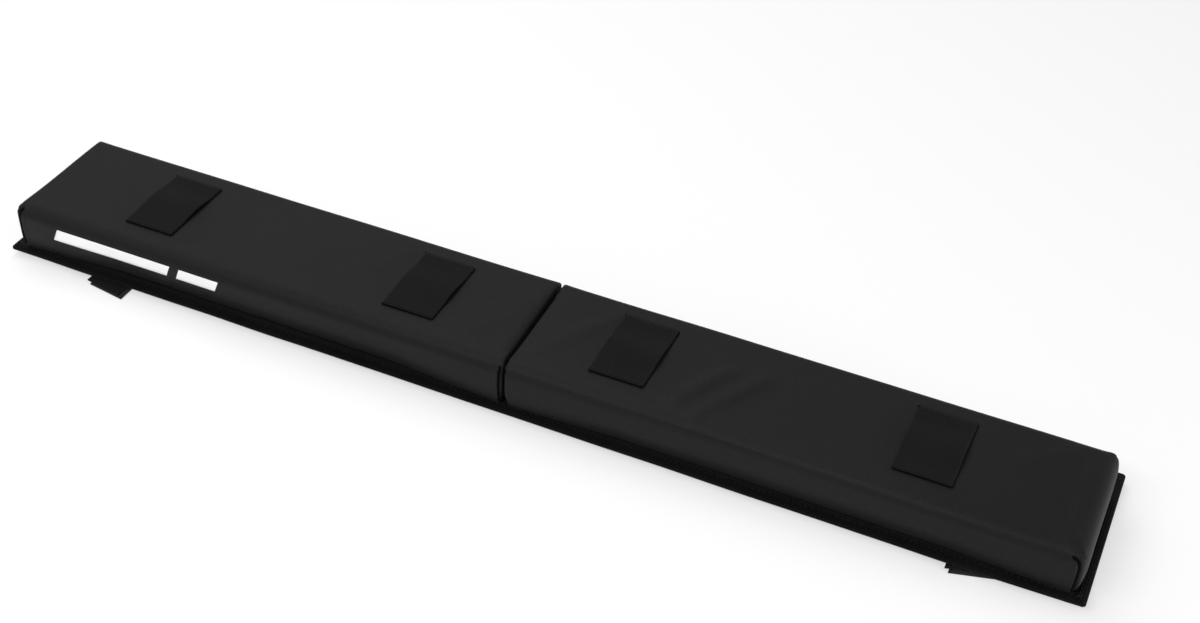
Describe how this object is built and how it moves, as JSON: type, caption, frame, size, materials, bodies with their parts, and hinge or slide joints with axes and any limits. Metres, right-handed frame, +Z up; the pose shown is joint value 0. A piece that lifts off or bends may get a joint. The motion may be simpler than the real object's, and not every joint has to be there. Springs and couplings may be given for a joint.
{
  "type": "roof rack pad",
  "caption": "Long soft pad for one car roof bar: two foam blocks in sewn covers on a stiff panel, with strap loops on top and wrap closures below.",
  "frame": {"origin": "middle of the overall box in plan, on the surface that the pad lies on", "axes": "+X along the pad towards its rounder end, +Y towards the wide rear margin, +Z up from the bar side to the padded side"},
  "size_m": [0.711, 0.122, 0.0434],
  "materials": {
    "cover_fabric": "tight woven polyester, lightly coated, soft sheen",
    "panel_cloth": "plain woven polyester over a stiff sheet",
    "binding_tape": "folded ribbed tape with a stitch line",
    "webbing": "matt flat webbing with hemmed ends",
    "closure_strap": "hook and loop strap, matt",
    "foam": "closed-cell foam"
  },
  "bodies": {
    "root": {"base_panel": "panel_cloth", "edge_binding": "binding_tape", "left_cover": "cover_fabric", "right_cover": "cover_fabric", "left_foam_block": "foam", "right_foam_block": "foam", "outer_left_loop": "webbing", "inner_left_loop": "webbing", "inner_right_loop": "webbing", "outer_right_loop": "webbing", "left_hook_strap": "closure_strap", "right_hook_strap": "closure_strap", "left_loop_strap": "closure_strap", "right_loop_strap": "closure_strap"}
  },
  "joints": []
}
